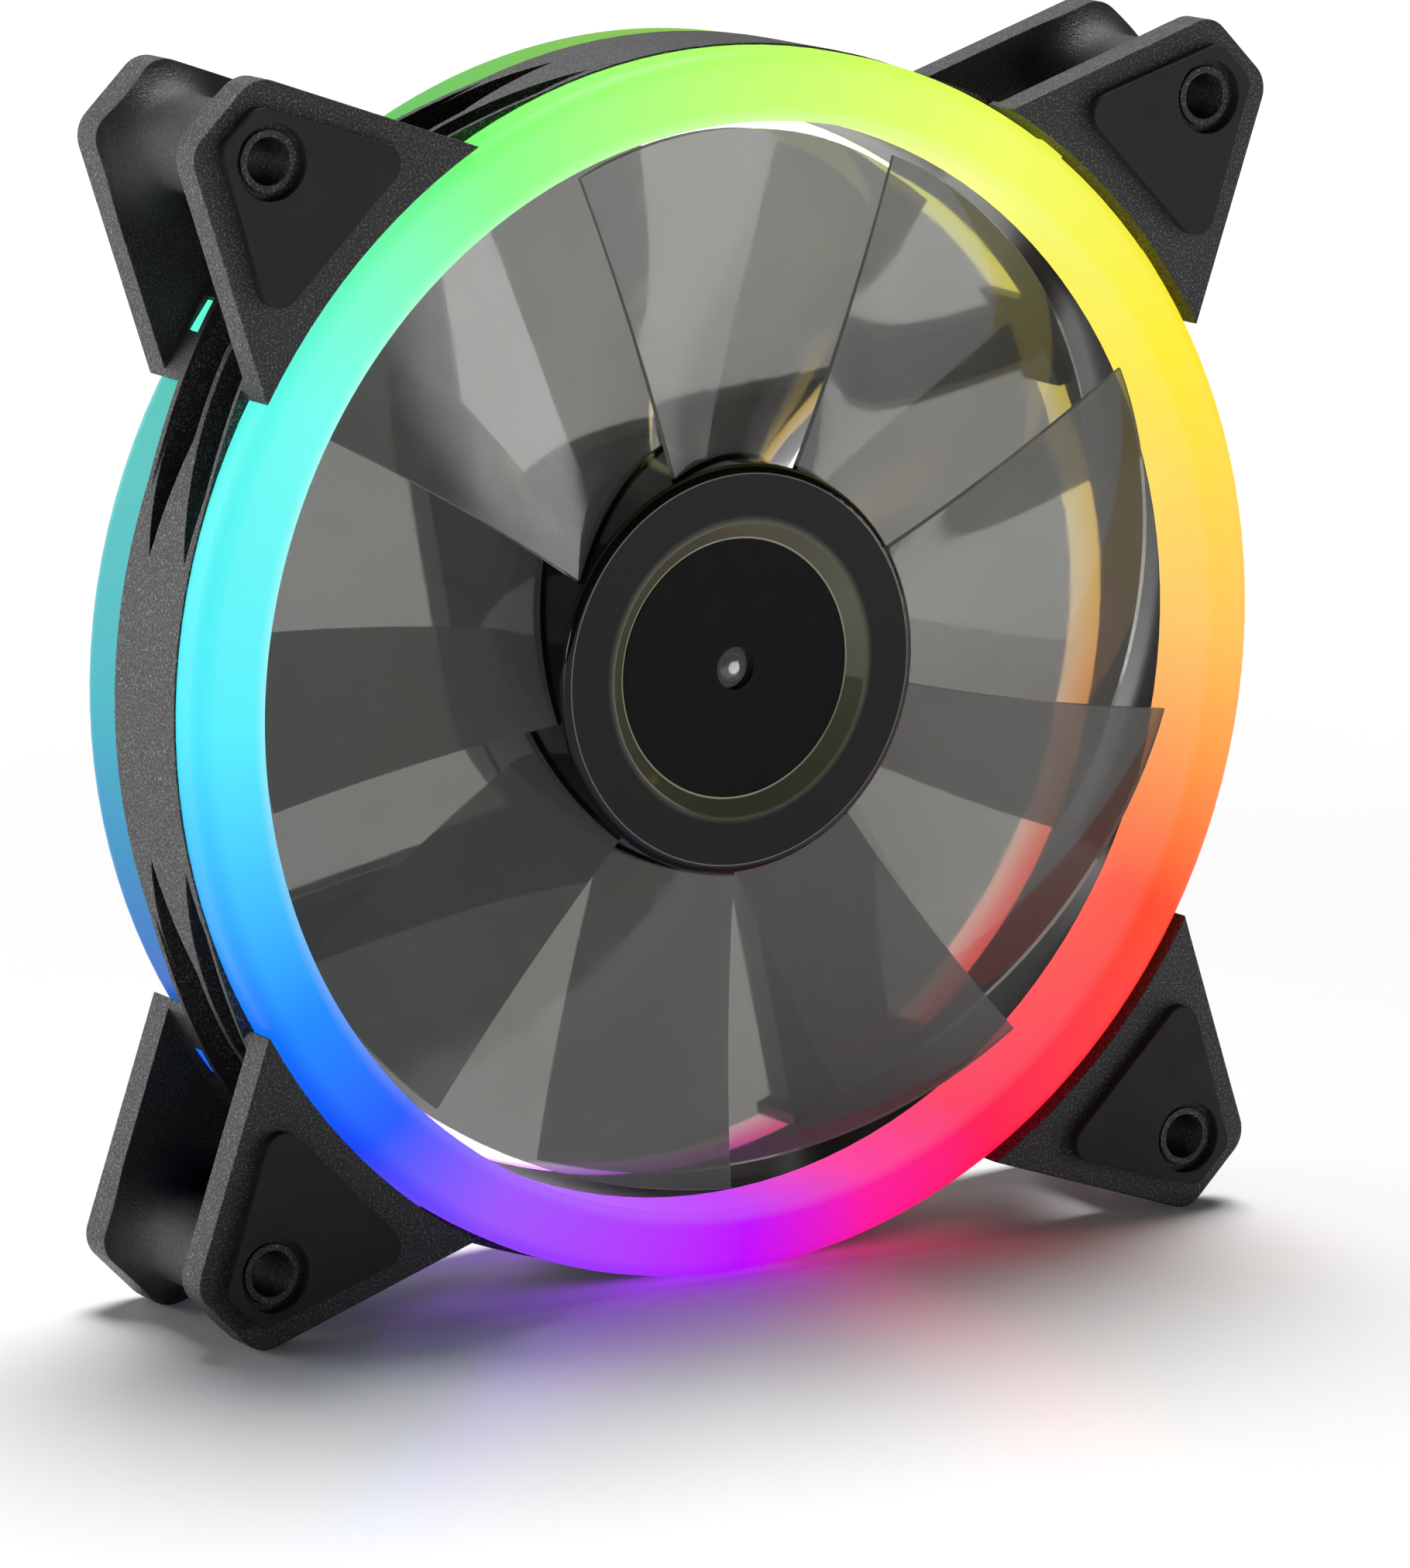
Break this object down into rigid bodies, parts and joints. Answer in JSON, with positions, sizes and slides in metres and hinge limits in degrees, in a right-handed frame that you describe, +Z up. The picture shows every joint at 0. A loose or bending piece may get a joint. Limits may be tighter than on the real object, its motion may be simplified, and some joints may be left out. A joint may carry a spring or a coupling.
{
  "type": "case fan",
  "caption": "Square case fan with a smoked see-through impeller, lit rings on both faces, forked corner ears with rubber pads and tangential rear struts.",
  "frame": {"origin": "on the spin axis, half way through the depth", "axes": "+Y along the spin axis from the intake face to the outlet face, +Z up, +X to the right seen from the intake"},
  "size_m": [0.12, 0.025, 0.12],
  "materials": {
    "bearing_plastic": "natural nylon",
    "bronze": "sintered",
    "capacitor_body": "ceramic",
    "chip_body": "moulded",
    "circuit_board": "dark solder mask",
    "copper_wire": "enamelled",
    "core_steel": "stacked sheet",
    "frame_plastic": "spark-eroded black plastic",
    "front_diffuser": "milky plastic lit from inside, colour wheel round the ring",
    "insulator_plastic": "natural",
    "label": "matt black sticker",
    "lead_sheath": "black insulation",
    "led_body": "white package",
    "magnet": "bonded ferrite",
    "pad_rubber": "smooth matt black rubber",
    "plated_steel": "yellow-passivated",
    "rear_diffuser": "milky plastic lit from inside, colour wheel round the ring",
    "smoked_plastic": "smoke-grey see-through plastic",
    "steel": "ground"
  },
  "bodies": {
    "housing": {"bearing_sleeve": "bronze", "coil_1": "copper_wire", "coil_2": "copper_wire", "coil_3": "copper_wire", "coil_4": "copper_wire", "driver_chip": "chip_body", "filter_capacitor": "capacitor_body", "frame": "frame_plastic", "front_diffuser": "front_diffuser", "front_led_board": "circuit_board", "front_leds": "led_body", "front_pad_bottom_left": "pad_rubber", "front_pad_bottom_right": "pad_rubber", "front_pad_top_left": "pad_rubber", "front_pad_top_right": "pad_rubber", "hall_sensor": "chip_body", "insulator_front": "insulator_plastic", "insulator_rear": "insulator_plastic", "lead_wires": "lead_sheath", "motor_board": "circuit_board", "oil_seal": "bearing_plastic", "rear_diffuser": "rear_diffuser", "rear_label": "label", "rear_led_board": "circuit_board", "rear_leds": "led_body", "rear_pad_bottom_left": "pad_rubber", "rear_pad_bottom_right": "pad_rubber", "rear_pad_top_left": "pad_rubber", "rear_pad_top_right": "pad_rubber", "stator_core": "core_steel", "thrust_pad": "bearing_plastic"},
    "rotor": {"impeller": "smoked_plastic", "hub_label": "label", "rotor_yoke": "plated_steel", "magnet_ring": "magnet", "shaft": "steel", "shaft_clip": "steel", "shaft_washer": "bearing_plastic"}
  },
  "joints": [
    {"name": "rotor_spin", "type": "hinge", "parent": "housing", "child": "rotor", "pos_m": [0, 0, 0], "axis": [0, -1, 0], "continuous": true}
  ]
}
